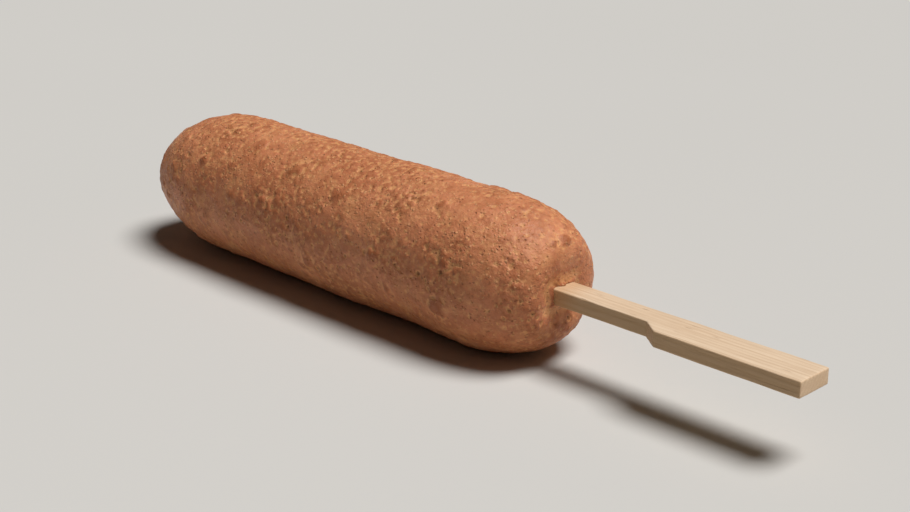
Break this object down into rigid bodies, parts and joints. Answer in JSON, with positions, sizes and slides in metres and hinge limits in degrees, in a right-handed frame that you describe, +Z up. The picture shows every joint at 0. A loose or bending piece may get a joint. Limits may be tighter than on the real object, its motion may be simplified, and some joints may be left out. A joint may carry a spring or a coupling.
{
  "type": "corn dog",
  "caption": "Battered and fried sausage with rounded ends, lying on its side, on a flat wooden stick whose handle is wider than its neck.",
  "frame": {"origin": "under the middle of the whole, on the surface that it lies on", "axes": "+X along the body to the end of the stick, +Z up, and the stick's stepped edge towards -Y"},
  "size_m": [0.2241, 0.04, 0.039],
  "materials": {
    "fried_batter": "satin",
    "bare_wood": "matte"
  },
  "bodies": {
    "root": {"battered_body": "fried_batter", "stick": "bare_wood"}
  },
  "joints": []
}
